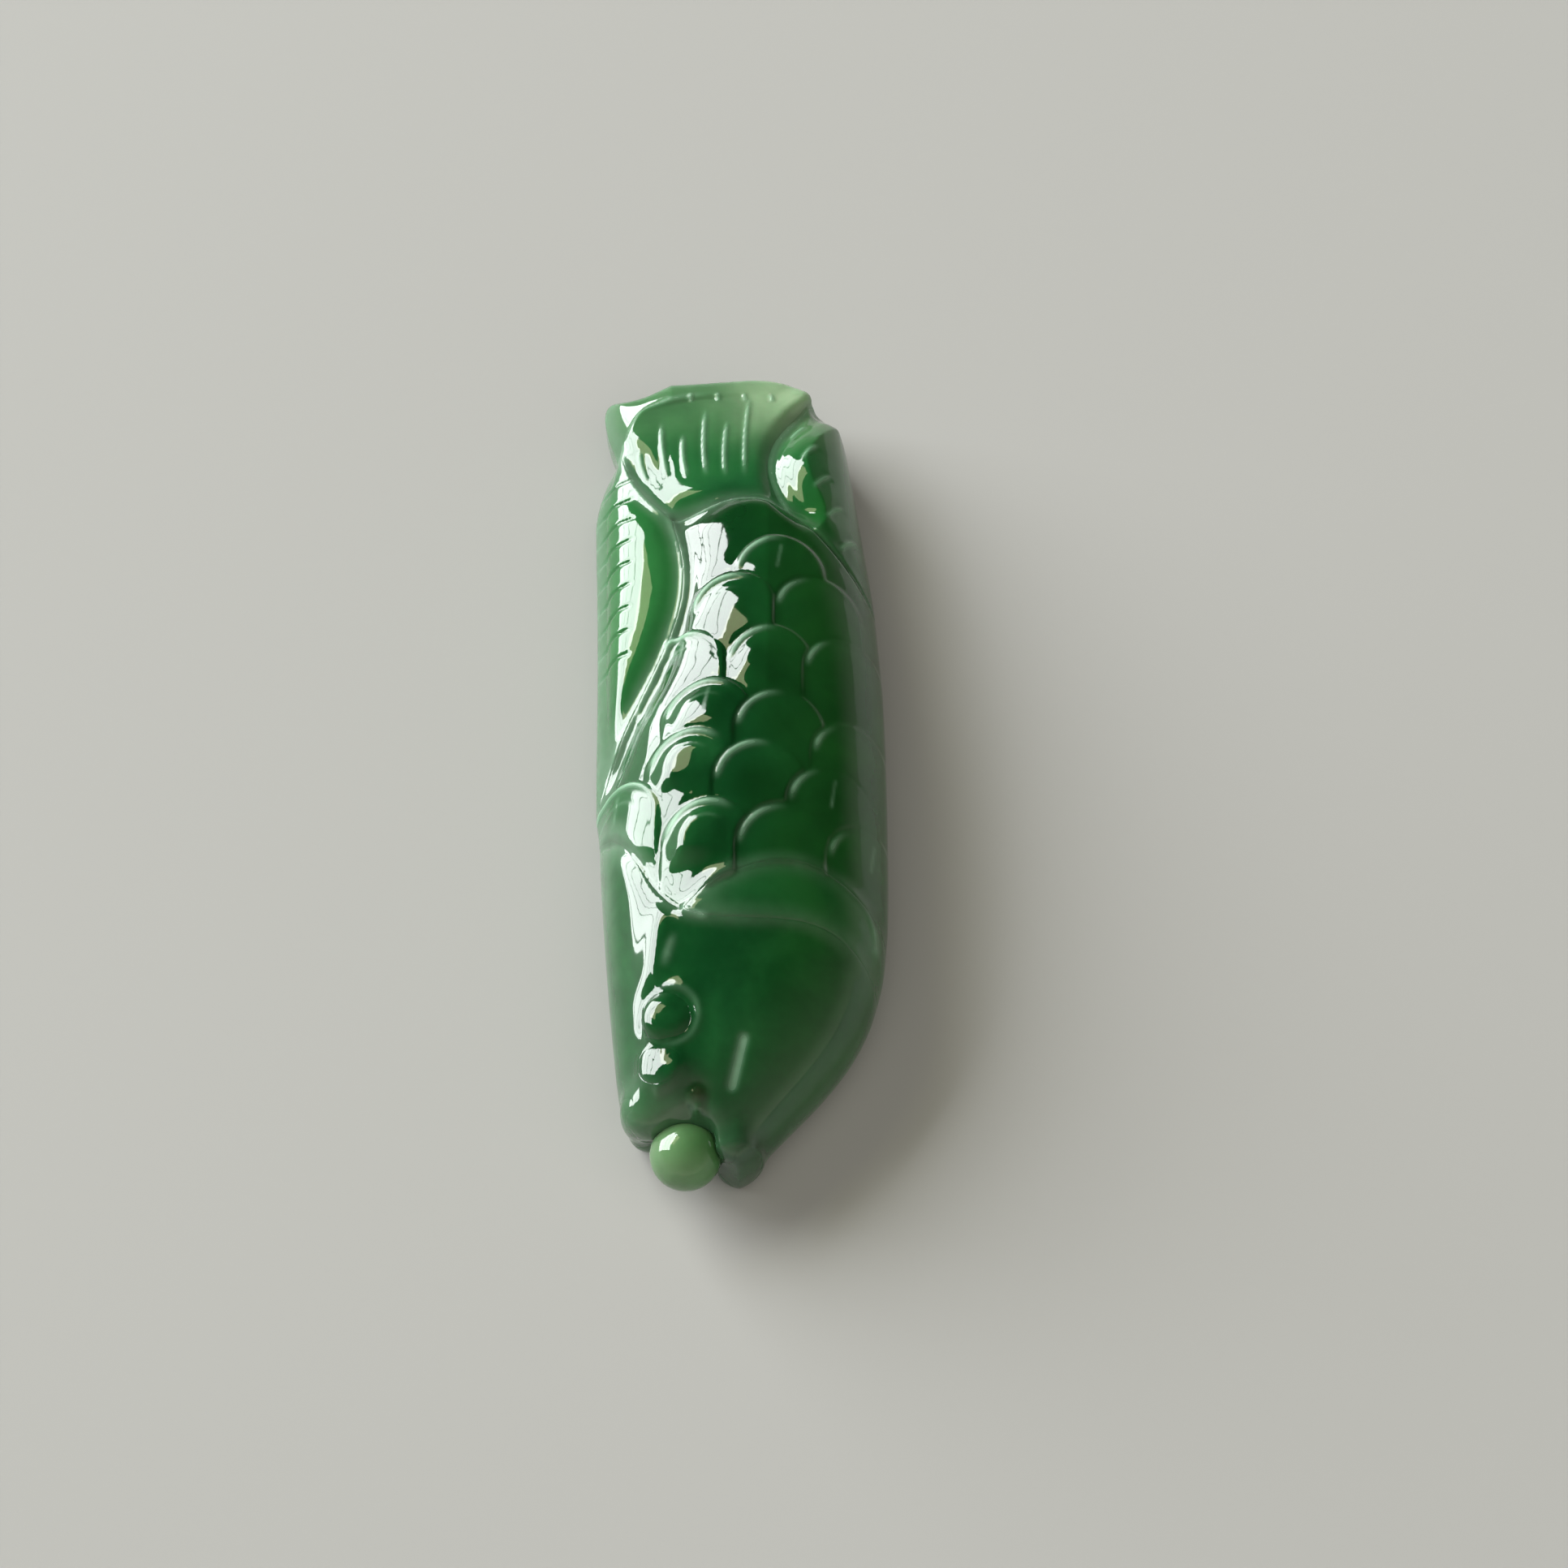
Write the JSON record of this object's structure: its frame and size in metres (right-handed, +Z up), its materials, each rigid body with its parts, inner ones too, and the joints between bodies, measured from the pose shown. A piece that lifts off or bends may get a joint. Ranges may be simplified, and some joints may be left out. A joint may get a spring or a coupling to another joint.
{
  "type": "jade figurine",
  "caption": "Small one-piece carved jade carp with scales, fins and a raised tail, holding a round pearl in its mouth, on a flat back.",
  "frame": {"origin": "on the flat back, under the middle of the stone's length and width", "axes": "+Z up out of the flat back, +Y towards the tail, +X towards the fish's belly"},
  "size_m": [0.0127, 0.0385, 0.0068],
  "materials": {
    "jade": "polished",
    "pale_jade": "polished"
  },
  "bodies": {
    "root": {"body": "jade", "head": "jade", "gill_cover": "jade", "dorsal_fin": "jade", "tail_fan": "jade", "tail_lobe": "jade", "upper_lip": "jade", "lower_lip": "jade", "eye": "jade", "nostril": "jade", "pearl": "pale_jade"}
  },
  "joints": []
}
